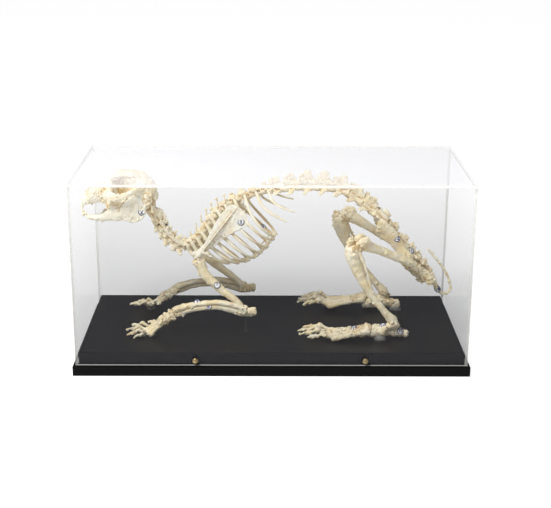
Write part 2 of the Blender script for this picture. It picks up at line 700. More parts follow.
# Chest: spine, floating ribs, and the two sides of the rib cage with half of the breastbone each
def buildChest():
    def vertebrae(numbers, node):
        for number in numbers:
            place = spineFrame(number)
            length = spineStep(number)
            pieces = bodyAndArch(place, length * 0.94, 5.2, 4.5)
            broad = number - chestFirst >= chestSpec["broadFrom"]
            rise = upright(place, chestSpec["lean"][broad])
            pieces.append(blade(place, rise * 1.5, rise * chestSpineHeight(number), 0.65,
                                chestSpec["rootHalf"][broad], chestSpec["tipHalf"][broad]))
            pieces += mirrored(lambda side: [
                blade(place, (0, side * 2, 2.6), (1.5, side * 7.2, 4.8), 1.6, 2.2, 1.8)])
            grow(f"thoracic_{number - chestFirst + 1}", node, pieces, looks["spine"], voxel=0.4)

    middle = chestFirst + 6
    vertebrae(range(chestFirst, middle), "chest_spine_front")
    vertebrae(range(middle, loinFirst), "chest_spine_back")
    for number in range(chestFirst + joinedRibs, loinFirst):
        for label, side in (("left", -1), ("right", 1)):
            makeRib(number, label, side, "chest_spine_back")


def makeRib(number, label, side, node):
    bent = tube(world, ribRoute(number, side), sides=6, up=fore)
    item = joined(f"rib_{number - chestFirst + 1}_{label}", [bent])
    addRipples(item, 0.3, 0.12)
    settle(item)
    markHollows(item)
    bones.append(item)
    dress(item, looks["rib"], "bone", node)


def buildRibCage():
    for label, pose in limbs.items():
        side = pose["side"]
        for k in range(joinedRibs):
            makeRib(chestFirst + k, label, side, f"rib_cage_{label}")
        arch = [(*ribRoute(chestFirst + k, side)[-2][:3], 1.0, 1.1) for k in range(6, joinedRibs)]
        item = joined(f"rib_arch_{label}", [tube(world, arch, sides=6, up=(0, 1, 0))])
        markHollows(item)
        bones.append(item)
        dress(item, looks["rib"], "bone", f"rib_cage_{label}")
    route = curveThrough([(x, 0, z) for x, z in sternumRoute], 8)
    waist = ((0.06, 1.15), (0.3, 0.85), (0.7, 0.8), (0.94, 1.15))
    for k, (start, end) in enumerate(zip(route, route[1:])):
        stations = [(*start.lerp(end, share), 2.7 * wide, 2.3 * wide) for share, wide in waist]
        grow(f"sternebra_{k + 1}", "rib_cage_left", [tube(world, stations, sides=8)], looks["rib"], voxel=0.4)
        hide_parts("rib_cage_right")


# Loin
def buildLoin():
    def vertebrae(numbers, node):
        for number in numbers:
            place = spineFrame(number)
            length = spineStep(number)
            later = (number - loinFirst) / 6
            width = 5.3 + 1.3 * later
            height = 4.6 + 1.5 * later
            pieces = bodyAndArch(place, length * 0.94, width, height, 1.35)
            tall = 20 - 4 * abs(number - loinFirst - 2.5) * 0.5
            pieces.append(blade(place, (0, 0, 3), (-3.4, 0, tall), 1.6, 6.4, 4.4 + 1.2 * later,
                                middle=(-1.5, 0, 0.6 * tall)))
            span = 11 + 9 * math.sin(math.pi * min(1, 0.25 + 0.75 * later))
            pieces += mirrored(lambda side: [
                blade(place, (-1, side * 2.5, -1), (-6 - 3 * later, side * span, -1.8 - 5 * later),
                      1, 3.8, 2.6),
                tube(place, ((-1, side * 3, 4, 2, 3.4), (-length * 0.4, side * 5, 8, 1.7, 3),
                             (-length * 0.56, side * 5.6, 11.5, 1.4, 2.4)), sides=6, up=fore),
                tube(place, ((0, side * 2.6, 4.5, 1.4, 1.6), (length * 0.55, side * 3.2, 6, 1.1, 1.2)),
                     sides=6),
            ])
            grow(f"lumbar_{number - loinFirst + 1}", node, pieces, looks["spine"], voxel=0.42)

    middle = loinFirst + 4
    vertebrae(range(loinFirst, middle), "loin_front")
    vertebrae(range(middle, sacrumFirst), "loin_back")

    pieces = []
    for order in range(4):
        number = sacrumFirst + order
        place = spineFrame(number)
        length = spineStep(number)
        width = 6.8 - 0.9 * order
        height = 5.2 - 0.6 * order
        pieces += bodyAndArch(place, length * 1.05, width, height)
        pieces.append(blade(place, (0, 0, 2), (1.5 - order * 0.3, 0, 12.5 - 1.4 * order), 1.8, 6, 4.6))
        pieces += mirrored(lambda side: [
            tube(place, ((-length * 0.5, side * (width - 0.5), 0, 2.6, 2),
                         (length * 0.5, side * (width - 1), 0, 2.2, 1.8)), sides=6)])
    ala = spineFrame(sacrumFirst + 0.4)
    pieces += mirrored(lambda side: [
        tube(ala, ((0, side * 3, 0, 6, 4), (-1, side * 10, 0.5, 6.4, 4.4), (-1.5, side * 19.8, 0, 6, 5)),
             sides=8, blunt=True)])
    grow("sacrum", "sacrum", pieces, looks["spine"], voxel=0.45, tissue=0.07)


# Tail, a chain of waisted bones that grow smaller
tailSpec = {"steps": 8, "tip": 1.6, "root": 1.9, "taper": 1.4, "winged": 5,
            "waist": ((0.3, 1.0), (2, 0.84), (4, 0.68), (6, 0.82), (7.7, 0.98))}


def buildTail():
    knots = [(x, 0, z) for x, z in tailRoute]
    steps = tailSpec["steps"]
    winged = tailSpec["winged"]
    route = curveThrough(knots, tailBones * steps + 1)
    for k in range(tailBones):
        node = "tail_root" if k < winged else "tail_middle" if k < 10 else "tail_tip"
        stations = []
        for step, waist in tailSpec["waist"]:
            where = k * steps + step
            at = route[int(where)].lerp(route[min(int(where) + 1, len(route) - 1)], where % 1)
            left = 1 - where / (tailBones * steps)
            half = (tailSpec["tip"] + tailSpec["root"] * left ** tailSpec["taper"]) * waist
            stations.append((*at, half * (1.25 if k < winged else 1), half))
        pieces = [tube(world, stations, sides=8, up=(0, 1, 0))]
        if k < winged:
            at = route[k * steps + 4]
            seat = seatAt(at, route[k * steps + 6] - route[k * steps + 2])
            size = 1 - 0.14 * k
            pieces.append(blade(seat, (0, 0, 0.5), (1, 0, 6.5 * size), 0.8, 2, 1.3))
            pieces += mirrored(lambda side: [
                blade(seat, (0, side, 0), (1.5, side * 7 * size, -0.5), 0.8, 2.4, 1.2)])
        grow(f"caudal_{k + 1}", node, pieces, looks["spine"], voxel=0.35, soften=1, swell=0.15, grain=0.08,
             tissue=0.08 if k < winged else 0.01)


# Long bones, each in a frame with X from its upper joint to its lower one
def limbFrame(start, end, side):
    return seatAt(start, Vector(end) - Vector(start), (0, side, 0))


def buildHumerus(label, pose):
    place = limbFrame(pose["shoulder"], pose["elbow"], 1)
    side = pose["side"]
    length = (Vector(pose["elbow"]) - Vector(pose["shoulder"])).length
    bend = pose["bend"]
    shaft = tube(place, ((3, 0, -0.2 * bend, 5.8, 6.6), (length * 0.25, 0, -bend, 4.8, 6),
                         (length * 0.55, 0, -0.6 * bend, 4.2, 4.7), (length * 0.82, 0, 0.4, 4.4, 4),
                         (length * 0.97, 0, 0, 5.6, 3.8)), sides=10)
    head = ball(place, (0.5, 0, 2.6), (5.6, 5, 5.6))
    tubercle = ball(place, (0, side * 1.5, -4.2), (4.4, 3.8, 3.2))
    crest = tube(place, ((6, side, -5 - 0.3 * bend, 1.3, 2), (length * 0.3, side, -4.4 - bend, 1, 1.8)),
                 sides=6)
    spool = tube(place, ((length, -6.2, 0, 4.8, 4.8), (length, -2, 0, 3.9, 3.9), (length, 2, 0, 4.4, 4.4),
                         (length, 6.2, 0, 4.2, 4.2)), sides=10, up=fore, blunt=True)
    grow(f"humerus_{label}", f"humerus_{label}", [shaft, head, tubercle, crest, spool], looks["limb"],
         voxel=0.45)


def buildForearm(label, pose):
    place = limbFrame(pose["elbow"], pose["wrist"], 1)
    side = pose["side"]
    length = (Vector(pose["wrist"]) - Vector(pose["elbow"])).length
    bow = pose["bow"]

    def arched(share, level, wide, high, out=0.0):
        return (length * share, side * out, level - bow * math.sin(math.pi * min(max(share, 0), 1)),
                wide * 1.1, high * 1.18)

    ulna = tube(place, ((-13.5, side * 0.5, 3.4, 3.2, 5.2), (-8, side * 0.5, 3.2, 3, 5.4),
                        arched(0.02, 4.6, 3, 4.4), arched(0.14, 4.4, 2.6, 3.6),
                        arched(0.4, 3.6, 2.1, 2.9, 0.5), arched(0.7, 3.4, 2.1, 2.7, 1),
                        arched(0.93, 3.6, 2.8, 2.8, 2), arched(0.99, 2.8, 2.4, 2.6, 2.4)), sides=8)
    beak = ball(place, (-3.4, 0, -1), (2.2, 2.8, 3.4))
    grow(f"ulna_{label}", f"ulna_{label}", [ulna, beak], looks["limb"], voxel=0.42)
    radius = tube(place, (arched(0.04, -2.4, 4.8, 3.2), arched(0.12, -2.2, 3.6, 2.9),
                          arched(0.4, -2, 3.5, 2.8), arched(0.75, -2, 3.6, 2.9),
                          arched(0.93, -2.6, 4.8, 3.4), arched(0.985, -2.4, 4.6, 3.2)), sides=8)
    grow(f"radius_{label}", f"radius_{label}", [radius], looks["limb"], voxel=0.42)


def buildWrist(label, pose):
    place = seatAt(pose["wrist"], Vector(pose["hand"]) - Vector(pose["wrist"]))
    side = pose["side"]
    length = (Vector(pose["hand"]) - Vector(pose["wrist"])).length
    pieces = []
    for row, share in enumerate((0.2, 0.55, 0.9)):
        for k in range(3):
            bump = 0.5 * math.sin(2.4 * k + 1.7 * row)
            pieces.append(ball(place, (length * share, (k - 1) * 3.8, bump),
                               (length * 0.24, 3.6, 4.7 + 0.3 * bump)))
    pieces.append(ball(place, (length * 0.25, side * 4.5, 4.2), (2.2, 2, 2.8)))
    grow(f"wrist_{label}", f"wrist_{label}", pieces, looks["limb"], voxel=0.4)


def digit(base, angle, side, lengths, levels, thick):
    heading = Vector((-math.cos(angle), side * math.sin(angle), 0))
    base = Vector(base)
    stations = [(*base, thick, thick * 1.1)]
    travel = 0.0
    height = base.z
    sizes = (1.0, 0.86, 0.7)
    for boneLength, level, size in zip(lengths[:3], levels[:3], sizes):
        for share, swell in ((0.3, 0.72), (0.7, 0.68), (1.0, 1.0)):
            spot = base + heading * (travel + boneLength * share)
            spot.z = height + (level - height) * share
            stations.append((*spot, thick * size * swell, thick * size * swell))
        travel += boneLength
        height = level
    claw = ((0.3, height + 0.3, 0.42, 0.62), (0.7, (height + levels[3]) / 2 + 0.5, 0.3, 0.42),
            (1.0, levels[3], 0.14, 0.16))
    for share, level, wide, high in claw:
        spot = base + heading * (travel + lengths[3] * share)
        spot.z = level
        stations.append((*spot, thick * wide, thick * high))
    return tube(world, stations, sides=6)


# each row is one finger or toe: the lengths of its long bone, its two phalanges and its claw
handSpec = {
    "rows": ((5.5, 5, 2.6, 4.5), (14.5, 9, 5.5, 7.5), (17, 9.5, 6, 8), (16.5, 9.5, 6, 8), (13, 8, 5, 7.5)),
    "angles": (-24, -11, -2, 8, 20), "apart": 2.7, "thick": 3.1, "thumbThick": 2.4,
    "levels": (30.2, 34.4, 31, 28.6),
}
footSpec = {
    "rows": ((43, 14.5, 8, 11), (46.5, 15.5, 8.5, 12), (45.5, 15, 8.5, 12), (41, 13, 7.5, 10.5)),
    "angles": (-7, -2, 3, 8.5), "apart": 4.5, "thick": 4.1,
}


def buildHand(label, pose):
    side = pose["side"]
    start = Vector(pose["hand"])
    pieces = [ball(world, start + Vector((-1, 0, -0.5)), (5, 8, 4.7))]
    for k, lengths in enumerate(handSpec["rows"]):
        base = start + Vector((-1 - 0.6 * (2 - abs(k - 2)), side * (k - 2) * handSpec["apart"],
                               -0.8 * abs(k - 2)))
        raised = 1.9 * (3 - k) if k < 3 else 0.0
        raised += pose["fingers"]
        levels = [level + rise * raised for level, rise in zip(handSpec["levels"], (1, 1, 1, 1.6))]
        angle = math.radians(handSpec["angles"][k])
        pieces.append(digit(base, angle, side, lengths, levels, handSpec["thick" if k else "thumbThick"]))
    grow(f"hand_{label}", f"hand_{label}", pieces, looks["limb"], voxel=0.4)


def buildFemur(label, pose):
    side = pose["side"]
    place = limbFrame(pose["hip"], pose["knee"], side)
    length = (Vector(pose["knee"]) - Vector(pose["hip"])).length
    head = ball(place, (0, 0, 0), (pelvisHead,) * 3)
    neck = tube(place, ((0, 0, 0, 3, 3), (3, 5, 0, 3.4, 3.8)), sides=8)
    knob = tube(place, ((-4, 8, 0, 3, 3.6), (3, 7.5, 0, 3.6, 4.6), (12, 6, 0, 3.6, 3.8)), sides=8)
    ridge = ball(place, (14, 9, 0), (4.5, 2, 2.4))
    shaft = tube(place, ((5, 6.4, 0, 5, 5.4), (length * 0.3, 4, 0, 5, 5.3),
                         (length * 0.6, 1.8, 0, 4.8, 5.1), (length * 0.86, 0.4, 0, 6.6, 7),
                         (length * 0.97, 0, 0, 7.6, 8)), sides=10)
    knuckles = [ball(place, (length, out, -1.5 * side), (8.8, 4.8, 9.2)) for out in (-4.4, 4.4)]
    groove = tube(place, ((length - 8, 0, 3.5 * side, 4, 2.2), (length + 3, 0, 4.6 * side, 4.4, 2.2)),
                  sides=8)
    grow(f"femur_{label}", f"femur_{label}", [head, neck, knob, ridge, shaft, *knuckles, groove],
         looks["limb"], voxel=0.5)


def buildShin(label, pose):
    side = pose["side"]
    place = limbFrame(pose["shin"], pose["ankle"], 1)
    length = (Vector(pose["ankle"]) - Vector(pose["shin"])).length
    bow = -8.0

    def bowed(share, wide, high, out=0.0, back=0.0):
        return (length * share, side * out, back + bow * math.sin(math.pi * share ** 0.8), wide, high)

    shaft = tube(place, ((-2, 0, 1, 9.4, 10), bowed(0.05, 8.8, 10), bowed(0.16, 6.4, 8),
                         bowed(0.35, 4.6, 5.5), bowed(0.6, 4, 4.4), bowed(0.85, 4.4, 4.3),
                         bowed(0.95, 6.2, 5.4), bowed(1.0, 6.4, 5.4)), sides=10)
    crest = tube(place, ((1, 0, -6, 1.8, 3), (length * 0.2, 0, -8.5, 1.1, 2.4)), sides=6)
    strut = tube(place, ((2, side * 6.5, 6, 1.8, 2.2), bowed(0.2, 1.3, 1.5, 6, 10),
                         bowed(0.36, 1.3, 1.5, 5, 8.4), bowed(0.54, 1.5, 1.6, 1.8, 3.4)), sides=6)
    grow(f"tibia_fibula_{label}", f"tibia_fibula_{label}", [shaft, crest, strut], looks["limb"], voxel=0.48)
    cap = ball(world, pose["patella"], (3.9, 4.6, 6.2), turn=Matrix.Rotation(0.35, 4, "Y"))
    grow(f"patella_{label}", f"patella_{label}", [cap], looks["limb"], voxel=0.35)


def buildTarsus(label, pose):
    side = pose["side"]
    ankle = Vector(pose["ankle"])
    toes = Vector(pose["foot"])
    place = seatAt((ankle.x, ankle.y, 36), (-1, 0, 0))
    front = ankle.x - toes.x

    def at(x, out, z, wide, high):
        return (x, -side * out, z, wide, high)

    drop = pose["heelDrop"]
    heel = tube(place, (at(-16, 2, drop - 0.4, 4.2, 4.8), at(-10, 2, drop * 0.7 - 0.4, 3.8, 4.6),
                        at(-3, 2, drop * 0.4 - 0.4, 4.6, 5.6), at(7, 2, 0, 5.8, 6.8),
                        at(16, 1, 0.2, 7, 6.8), at(front - 1, 0, 1.2, 8.6, 6.2)), sides=10)
    talus = tube(place, (at(-3, -1.5, -9, 4.6, 4), at(2, -1.5, -7.4, 5, 4.6), at(9, -3, -5, 4.2, 4.2),
                         at(17, -2.5, -2.4, 4.4, 4)), sides=8)
    cuboids = ((14, -5.4, -0.6), (19, 5, -1.2), (21, -1, -3.2))
    bumps = [ball(place, at(*cuboid, 0, 0)[:3], (4.9, 4.1, 4.9)) for cuboid in cuboids]
    grow(f"tarsus_{label}", f"tarsus_{label}", [heel, talus, *bumps], looks["limb"], voxel=0.45)


def buildFoot(label, pose):
    side = pose["side"]
    start = Vector(pose["foot"])
    low, lift = pose["toes"]
    pieces = [ball(world, start + Vector((-2, 0, 0.2)), (5.4, 9.4, 5.8))]
    for k, lengths in enumerate(footSpec["rows"]):
        base = start + Vector((-2, side * (k - 1.5) * footSpec["apart"], 0.6 - 0.9 * abs(k - 1.5)))
        levels = (low + 1, lift - 0.4 - 1.2 * abs(k - 1.5), lift - 4.4, low + 3.6)
        angle = math.radians(footSpec["angles"][k])
        pieces.append(digit(base, angle, side, lengths, levels, footSpec["thick"]))
    grow(f"foot_{label}", f"foot_{label}", pieces, looks["limb"], voxel=0.4)


# Shoulder blade, drawn flat in its own plane and seated on the ball of the humerus
def buildScapula(label, pose):
    side = pose["side"]
    socket = Vector(pose["shoulder"]) + Vector((-2.5, 0, 6))
    along = Vector(pose["bladeTop"]) - socket
    across = Vector(pose["bladeFront"]) - Vector(pose["bladeTop"])
    place = seatAt(socket, along, across)
    out = 1 if (place.to_3x3() @ up).y * side > 0 else -1
    outline = ((3, 3.6), (12, 3.7), (20, 4.8), (30, 9), (46, 14), (60, 17), (70, 17.5), (76.5, 12.5),
               (78, 0), (76, -9), (69, -14.2), (58, -11), (40, -6.8), (25, -4.4), (12, -3.8), (3, -3.6))
    flat = plate(place, outline, 1.3, 26)
    socketEnd = tube(place, ((-1, 0, 0, 4.4, 4), (4, 0, 0, 4, 3.4), (12, 0, 0, 3.4, 2),
                             (24, 0, 0, 3.4, 1.1)), sides=10, up=up)
    ridge = tube(place, ((74, 9, out * 0.6, 0.8, 1), (56, 6.6, out * 2, 0.8, 2.2),
                         (34, 3.2, out * 3.4, 0.8, 3.4), (16, 0.4, out * 4.4, 0.8, 3.8),
                         (9, -0.6, out * 6.6, 1, 1.6), (2, -0.6, out * 7, 1, 1)), sides=6, up=up)
    hook = tube(place, ((9, -0.4, out * 6.8, 1.3, 1), (11, -6, out * 6.6, 1.3, 0.9),
                        (12.5, -12, out * 5.4, 0.9, 0.8)), sides=6, up=up)
    edge = tube(place, ((10, -3.4, 0, 1.2, 1.3), (40, -6.4, 0, 1.2, 1.3), (68, -13.2, 0, 1.2, 1.2)),
                sides=6, up=up)
    coracoid = ball(place, (0.5, 4, 0), (3, 2.2, 2.2))
    grow(f"scapula_{label}", f"scapula_{label}", [flat, socketEnd, ridge, hook, edge, coracoid],
         looks["blade"], voxel=0.4)


# Hip bone, seated on the ball of the femur and parted from its twin at the middle
def buildHip(label, pose):
    side = pose["side"]
    wing = tube(world, ((129, side * 23, 158, 1.2, 6.5), (136, side * 20, 152, 1.6, 9.5),
                        (145, side * 18, 143, 2, 8.5), (154, side * 17, 130, 2.8, 6.4),
                        (162, side * 17, 119, 4.8, 7.2), (170, side * 15, 109, 3.2, 5.6),
                        (181, side * 14, 99, 2.8, 5.4), (190, side * 14, 92, 3, 7.4),
                        (196, side * 14.5, 87, 2.4, 6)), sides=10, up=(0.6, 0, 0.8))
    rim = ball(world, (162.5, side * 19, 117), (8, 4.6, 8))
    spineEnd = ball(world, (128, side * 23.5, 161), (3, 1.6, 4))
    pubis = tube(world, ((160, side * 15, 111, 3, 3.4), (165, side * 9, 103, 1.8, 2.6),
                         (172, side * 3, 96, 1.8, 3.4), (176, -side, 92, 2, 4.4)), sides=8, up=fore)
    branch = tube(world, ((191, side * 12, 88, 2.2, 3), (186, side * 7, 84.5, 1.6, 3.2),
                          (181, -side, 84, 1.8, 4.6)), sides=8, up=fore)
    seam = tube(world, ((173, side * 1.2, 95, 1.6, 2.6), (186, side * 1.2, 82, 1.6, 2.6)), sides=8)
    otherHalf = box(world, (140, min(-side * 12, side * gap / 2), 60),
                    (210, max(-side * 12, side * gap / 2), 130))
    grow(f"hip_bone_{label}", f"hip_bone_{label}", [wing, rim, spineEnd, pubis, branch, seam],
         looks["limb"], voxel=0.48, cuts=[otherHalf], tissue=0.09)


# Clear pins under the elbows and clear pads that hold the hands and heels
supportSpec = {"pinRadius": 1.1, "pinSides": 10, "footRadius": 3.4, "footTop": 2.6, "footHeight": 0.9,
               "padTaper": 0.55, "handPad": 7.0, "handPadHeight": 2.2, "heelPad": 8.5}


def buildSupports(label, pose):
    spec = supportSpec
    side = pose["side"]
    elbow = Vector(pose["elbow"]) + Vector((3, 0, 0))
    foot = caseSpec["plinthTop"] + gap
    pin = drum(world, (elbow.x, elbow.y, foot), (elbow.x, elbow.y, elbow.z - 2), spec["pinRadius"],
               sides=spec["pinSides"])
    base = drum(world, (elbow.x, elbow.y, foot), (elbow.x, elbow.y, foot + spec["footHeight"]),
                spec["footRadius"], spec["footTop"])
    dress(joined(f"elbow_pin_{label}.piece", [pin, base]), looks["pin"], "clear_acrylic",
          f"elbow_pin_{label}")
    hand = Vector(pose["hand"]) + Vector((-17, side * 4, 0))
    for name, (x, y, height), radius in (("hand", (hand.x, hand.y, spec["handPadHeight"]), spec["handPad"]),
                                         ("heel", pose["heelPad"], spec["heelPad"])):
        low = (x, y, foot)
        pad = drum(world, low, (x, y, foot + height), radius, radius * spec["padTaper"])
        dress(joined(f"{name}_pad_{label}.piece", [pad]), looks["glue"], "clear_acrylic",
              f"{name}_pad_{label}")


# materials
# noise scales of the bone surface, smaller numbers for larger patches, and the strength of its relief
surfaceSpec = {
    "blotch": 70, "stain": 38, "crust": 300, "pores": 1100, "poreFields": 120, "gloss": 160, "fine": 420,
    "poreDepth": -0.6, "relief": 0.35, "reliefHeight": 0.0004, "glow": 0.12,
    "glowReach": (0.004, 0.0025, 0.0015),
}


def bumpGroup():
    # shared bone surface: blotches, stains, fine pores and a height for the bump
    group = bpy.data.node_groups.new("boneSurface", "ShaderNodeTree")
    for name, kind in (("Light", "NodeSocketColor"), ("Dark", "NodeSocketColor"),
                       ("Stain", "NodeSocketColor"), ("Stain Amount", "NodeSocketFloat"),
                       ("Pores", "NodeSocketFloat")):
        group.interface.new_socket(name, in_out="INPUT", socket_type=kind)
    for name, kind in (("Colour", "NodeSocketColor"), ("Roughness", "NodeSocketFloat"),
                       ("Height", "NodeSocketFloat")):
        group.interface.new_socket(name, in_out="OUTPUT", socket_type=kind)
    nodes = group.nodes
    link = group.links.new
    given = nodes.new("NodeGroupInput")
    out = nodes.new("NodeGroupOutput")
    where = nodes.new("ShaderNodeTexCoord")

    def noise(scale, detail, rough=0.55):
        made = nodes.new("ShaderNodeTexNoise")
        made.inputs["Scale"].default_value = scale
        made.inputs["Detail"].default_value = detail
        made.inputs["Roughness"].default_value = rough
        link(where.outputs["Object"], made.inputs["Vector"])
        return made.outputs["Fac"]

    def stretch(value, low, high, to=(0.0, 1.0)):
        made = nodes.new("ShaderNodeMapRange")
        made.inputs["From Min"].default_value = low
        made.inputs["From Max"].default_value = high
        made.inputs["To Min"].default_value = to[0]
        made.inputs["To Max"].default_value = to[1]
        link(value, made.inputs["Value"])
        return made.outputs["Result"]

    def mix(factor, one, two):
        made = nodes.new("ShaderNodeMix")
        made.data_type = "RGBA"
        link(factor, made.inputs["Factor"])
        link(one, made.inputs["A"])
        link(two, made.inputs["B"])
        return made.outputs["Result"]

    def maths(kind, one, two):
        made = nodes.new("ShaderNodeMath")
        made.operation = kind
        for socket, value in zip(made.inputs, (one, two)):
            if isinstance(value, float):
                socket.default_value = value
            else:
                link(value, socket)
        return made.outputs["Value"]

    blotch = stretch(noise(surfaceSpec["blotch"], 5), 0.38, 0.66)
    colour = mix(blotch, given.outputs["Light"], given.outputs["Dark"])
    stain = maths("MULTIPLY", stretch(noise(surfaceSpec["stain"], 6, 0.65), 0.5, 0.72),
                  given.outputs["Stain Amount"])
    colour = mix(stain, colour, given.outputs["Stain"])
    worn = nodes.new("ShaderNodeAttribute")
    worn.attribute_name = "soil"
    crust = maths("ADD", worn.outputs["Fac"], maths("MULTIPLY", noise(surfaceSpec["crust"], 4), 0.5))
    colour = mix(maths("MULTIPLY", stretch(crust, 0.42, 1.3), 0.85), colour, given.outputs["Stain"])
    pore = nodes.new("ShaderNodeTexVoronoi")
    pore.inputs["Scale"].default_value = surfaceSpec["pores"]
    link(where.outputs["Object"], pore.inputs["Vector"])
    dots = maths("MULTIPLY", stretch(pore.outputs["Distance"], 0.28, 0.1),
                 maths("MULTIPLY", stretch(noise(surfaceSpec["poreFields"], 3), 0.5, 0.66),
                       given.outputs["Pores"]))
    colour = mix(maths("MULTIPLY", dots, 0.5), colour, given.outputs["Stain"])
    link(colour, out.inputs["Colour"])
    link(stretch(noise(surfaceSpec["gloss"], 3), 0.3, 0.7, (0.42, 0.62)), out.inputs["Roughness"])
    fine = maths("ADD", noise(surfaceSpec["fine"], 4), maths("MULTIPLY", dots, surfaceSpec["poreDepth"]))
    link(fine, out.inputs["Height"])
    return group


boneGroup = bumpGroup()


def veilLooks(name, colour, roughness, low, high, heights):
    # clear sheet whose faint veil thins upwards: alpha from low to high between two heights in metres
    made = plainLooks(name, colour, roughness, alpha=low, spread=0.02, noiseScale=20, specular=0.2)
    tree = made.node_tree
    where = tree.nodes.new("ShaderNodeTexCoord")
    split = tree.nodes.new("ShaderNodeSeparateXYZ")
    tree.links.new(where.outputs["Object"], split.inputs["Vector"])
    fade = tree.nodes.new("ShaderNodeMapRange")
    fade.inputs["From Min"].default_value = heights[0]
    fade.inputs["From Max"].default_value = heights[1]
    fade.inputs["To Min"].default_value = low
    fade.inputs["To Max"].default_value = high
    tree.links.new(split.outputs["Z"], fade.inputs["Value"])
    tree.links.new(fade.outputs["Result"], tree.nodes["Principled BSDF"].inputs["Alpha"])
    return made


def boneLooks(name, light, dark, stain, amount, pores=0.6):
    made = bpy.data.materials.new(name)
    made.use_nodes = True
    tree = made.node_tree
    shader = tree.nodes["Principled BSDF"]
    surface = tree.nodes.new("ShaderNodeGroup")
    surface.node_tree = boneGroup
    surface.inputs["Light"].default_value = (*light, 1)
    surface.inputs["Dark"].default_value = (*dark, 1)
    surface.inputs["Stain"].default_value = (*stain, 1)
    surface.inputs["Stain Amount"].default_value = amount
    surface.inputs["Pores"].default_value = pores
    bump = tree.nodes.new("ShaderNodeBump")
    bump.inputs["Strength"].default_value = surfaceSpec["relief"]
    bump.inputs["Distance"].default_value = surfaceSpec["reliefHeight"]
    tree.links.new(surface.outputs["Colour"], shader.inputs["Base Color"])
    tree.links.new(surface.outputs["Roughness"], shader.inputs["Roughness"])
    tree.links.new(surface.outputs["Height"], bump.inputs["Height"])
    tree.links.new(bump.outputs["Normal"], shader.inputs["Normal"])
    shader.inputs["Subsurface Weight"].default_value = surfaceSpec["glow"]
    shader.inputs["Subsurface Radius"].default_value = surfaceSpec["glowReach"]
    shader.inputs["Subsurface Scale"].default_value = 1.0
    return made


def plainLooks(name, colour, roughness, metallic=0.0, alpha=1.0, noiseScale=300.0, spread=0.08, specular=0.5):
    made = bpy.data.materials.new(name)
    made.use_nodes = True
    tree = made.node_tree
    shader = tree.nodes["Principled BSDF"]
    shader.inputs["Metallic"].default_value = metallic
    shader.inputs["Alpha"].default_value = alpha
    shader.inputs["Specular IOR Level"].default_value = specular
    where = tree.nodes.new("ShaderNodeTexCoord")
    cloud = tree.nodes.new("ShaderNodeTexNoise")
    cloud.inputs["Scale"].default_value = noiseScale
    cloud.inputs["Detail"].default_value = 4
    tree.links.new(where.outputs["Object"], cloud.inputs["Vector"])
    ramp = tree.nodes.new("ShaderNodeMix")
    ramp.data_type = "RGBA"
    ramp.inputs["A"].default_value = (*[c * (1 - spread) for c in colour], 1)
    ramp.inputs["B"].default_value = (*[min(1, c * (1 + spread)) for c in colour], 1)
    tree.links.new(cloud.outputs["Fac"], ramp.inputs["Factor"])
    tree.links.new(ramp.outputs["Result"], shader.inputs["Base Color"])
    level = tree.nodes.new("ShaderNodeMapRange")
    level.inputs["To Min"].default_value = max(0.02, roughness - spread)
    level.inputs["To Max"].default_value = roughness + spread
    tree.links.new(cloud.outputs["Fac"], level.inputs["Value"])
    tree.links.new(level.outputs["Result"], shader.inputs["Roughness"])
    return made


looks = {
    "skull": boneLooks("boneSkull", (0.96, 0.91, 0.76), (0.89, 0.79, 0.56), (0.66, 0.46, 0.20), 0.4),
    "jaw": boneLooks("boneJaw", (0.94, 0.91, 0.80), (0.88, 0.82, 0.64), (0.52, 0.37, 0.18), 0.3),
    "spine": boneLooks("boneSpine", (0.96, 0.90, 0.73), (0.90, 0.77, 0.50), (0.52, 0.32, 0.12), 0.5),
    "rib": boneLooks("boneRib", (0.96, 0.91, 0.76), (0.90, 0.79, 0.54), (0.56, 0.36, 0.14), 0.4, 0.4),
    "limb": boneLooks("boneLimb", (0.95, 0.88, 0.69), (0.88, 0.75, 0.46), (0.52, 0.33, 0.13), 0.4, 0.4),
    "blade": boneLooks("boneBlade", (0.95, 0.92, 0.82), (0.90, 0.83, 0.65), (0.56, 0.42, 0.22), 0.22, 0.3),
    "board": plainLooks("blackBoard", (0.003, 0.003, 0.003), 0.5, spread=0.1, specular=0.06),
    "plinth": plainLooks("charcoalPlinth", (0.009, 0.0085, 0.008), 0.33, spread=0.14, specular=0.3),
    "panel": veilLooks("acrylicFace", (0.02, 0.02, 0.026), 0.06, 0.2, 0.05, (0.03, 0.22)),
    "top": plainLooks("acrylicTop", (0.86, 0.86, 0.89), 0.08, alpha=0.27, spread=0.02, noiseScale=20),
    "edge": plainLooks("acrylicEdge", (0.78, 0.77, 0.73), 0.3, alpha=0.6, spread=0.05),
    "pin": plainLooks("clearRod", (0.85, 0.87, 0.87), 0.06, alpha=0.03, spread=0.03),
    "glue": plainLooks("cloudyGlue", (0.90, 0.89, 0.84), 0.25, alpha=0.24, spread=0.06, noiseScale=160),
    "amber": plainLooks("amberGlue", (0.58, 0.42, 0.20), 0.28, alpha=0.9, spread=0.12, noiseScale=200),
    "tissue": boneLooks("driedTissue", (0.80, 0.70, 0.50), (0.62, 0.46, 0.26), (0.30, 0.18, 0.08), 0.7, 0.8),
    "label": plainLooks("paperLabel", (0.93, 0.93, 0.91), 0.6, spread=0.02, noiseScale=500),
    "ink": plainLooks("labelInk", (0.04, 0.04, 0.12), 0.5, spread=0.1),
    "wire": plainLooks("darkWire", (0.09, 0.08, 0.07), 0.4, metallic=1.0, spread=0.1, noiseScale=900),
    "brass": plainLooks("brassScrew", (0.30, 0.23, 0.12), 0.38, metallic=1.0, spread=0.12, noiseScale=900),
}


